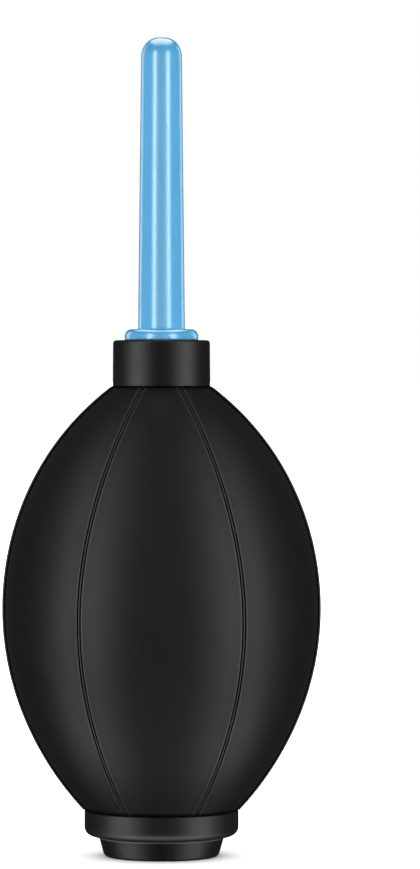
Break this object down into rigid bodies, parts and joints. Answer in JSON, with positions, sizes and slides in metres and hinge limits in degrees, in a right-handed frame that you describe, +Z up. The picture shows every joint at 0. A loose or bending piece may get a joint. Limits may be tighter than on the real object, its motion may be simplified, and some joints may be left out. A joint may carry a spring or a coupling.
{
  "type": "dust blower bulb",
  "caption": "Hand-held dust blower: ribbed rubber squeeze bulb with a slim tapered push-in nozzle, a neck collar and a stepped foot that hides a one-way air inlet valve.",
  "frame": {"origin": "centre of the foot's underside, on the surface that the blower stands on", "axes": "+Z up along the blower's axis towards the nozzle's tip; six seams run down the bulb, two of them on the X axis"},
  "size_m": [0.0584, 0.0584, 0.15],
  "materials": {
    "bulb_rubber": "satin moulded black rubber",
    "foot_rubber": "satin black rubber",
    "nozzle_plastic": "glossy sky-blue moulded plastic, slightly translucent",
    "black_plastic": "satin black moulded plastic",
    "valve_plastic": "natural white moulded plastic",
    "silicone": "soft red silicone",
    "screen_steel": "pierced stainless steel"
  },
  "bodies": {
    "base": {"bulb": "bulb_rubber", "base_ring": "black_plastic", "foot": "foot_rubber", "valve_body": "valve_plastic", "clamp_nut": "black_plastic", "valve_cage": "valve_plastic", "inlet_filter": "screen_steel", "filter_cap": "black_plastic"},
    "neck": {"neck_collar": "black_plastic", "neck_bush": "valve_plastic"},
    "seal": {"nozzle_seal": "silicone"},
    "nozzle": {"nozzle": "nozzle_plastic"},
    "disc": {"valve_disc": "silicone"}
  },
  "joints": [
    {"name": "bulb_squeeze", "type": "slide", "parent": "base", "child": "neck", "axis": [0, 0, -1], "range_m": [0, 0.025], "stiffness_N_per_m": 1000, "deforming": ["bulb"]},
    {"name": "nozzle_pull", "type": "slide", "parent": "neck", "child": "seal", "axis": [0, 0, 1], "range_m": [0, 0.018]},
    {"name": "nozzle_turn", "type": "hinge", "parent": "seal", "child": "nozzle", "pos_m": [0, 0, 0.0945], "axis": [0, 0, 1], "continuous": true},
    {"name": "inlet_lift", "type": "slide", "parent": "base", "child": "disc", "axis": [0, 0, 1], "range_m": [0, 0.00115]}
  ]
}
